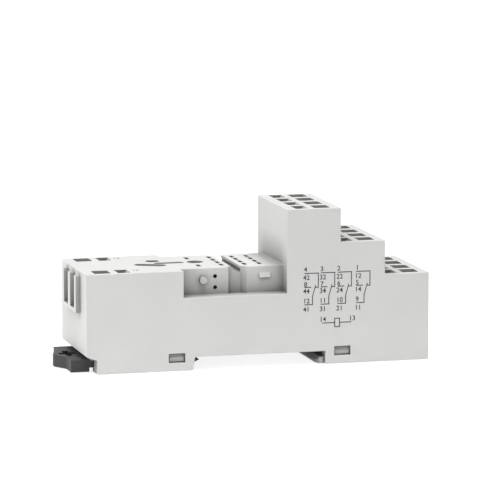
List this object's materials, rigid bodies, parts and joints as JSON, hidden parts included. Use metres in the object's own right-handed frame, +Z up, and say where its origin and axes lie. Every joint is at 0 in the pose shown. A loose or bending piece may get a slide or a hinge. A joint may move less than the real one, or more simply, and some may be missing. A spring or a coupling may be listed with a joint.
{
  "type": "plug-in relay socket",
  "caption": "Rail-mount socket for a plug-in relay: slotted relay platform, stepped tower of spring-clamp wire entries and a sliding rail latch.",
  "frame": {"origin": "middle of the socket's length and width, on the plane of its feet", "axes": "+X along the socket from the latch towards the stepped tower, +Y across it away from the printed side, +Z up from the rail"},
  "size_m": [0.1006, 0.0302, 0.0422],
  "materials": {
    "light_grey_plastic": "fine satin moulding",
    "cover_grey_plastic": "fine satin moulding",
    "dark_grey_plastic": "fine satin moulding",
    "plated_copper_alloy": "plated strip",
    "spring_steel": "bright spring strip and wire"
  },
  "bodies": {
    "socket": {"housing": "light_grey_plastic", "base_cover": "cover_grey_plastic", "rail_latch_spring": "spring_steel", "contact_normally_closed_1": "plated_copper_alloy", "contact_normally_closed_2": "plated_copper_alloy", "contact_normally_closed_3": "plated_copper_alloy", "contact_normally_closed_4": "plated_copper_alloy", "contact_normally_open_1": "plated_copper_alloy", "contact_normally_open_2": "plated_copper_alloy", "contact_normally_open_3": "plated_copper_alloy", "contact_normally_open_4": "plated_copper_alloy", "contact_common_1": "plated_copper_alloy", "contact_common_2": "plated_copper_alloy", "contact_common_3": "plated_copper_alloy", "contact_common_4": "plated_copper_alloy", "contact_coil_1": "plated_copper_alloy", "contact_coil_2": "plated_copper_alloy", "clamp_spring_normally_closed_1": "spring_steel", "clamp_spring_normally_closed_2": "spring_steel", "clamp_spring_normally_closed_3": "spring_steel", "clamp_spring_normally_closed_4": "spring_steel", "clamp_spring_normally_open_1": "spring_steel", "clamp_spring_normally_open_2": "spring_steel", "clamp_spring_normally_open_3": "spring_steel", "clamp_spring_normally_open_4": "spring_steel", "clamp_spring_common_1": "spring_steel", "clamp_spring_common_2": "spring_steel", "clamp_spring_common_3": "spring_steel", "clamp_spring_common_4": "spring_steel", "clamp_spring_coil_1": "spring_steel", "clamp_spring_coil_2": "spring_steel"},
    "rail_latch": {"rail_latch": "dark_grey_plastic"}
  },
  "joints": [
    {"name": "rail_latch_slide", "type": "slide", "parent": "socket", "child": "rail_latch", "axis": [-1, 0, 0], "range_m": [0, 0.004], "stiffness_N_per_m": 1500, "springref_m": -0.003, "deforming": ["rail_latch_spring"]}
  ]
}
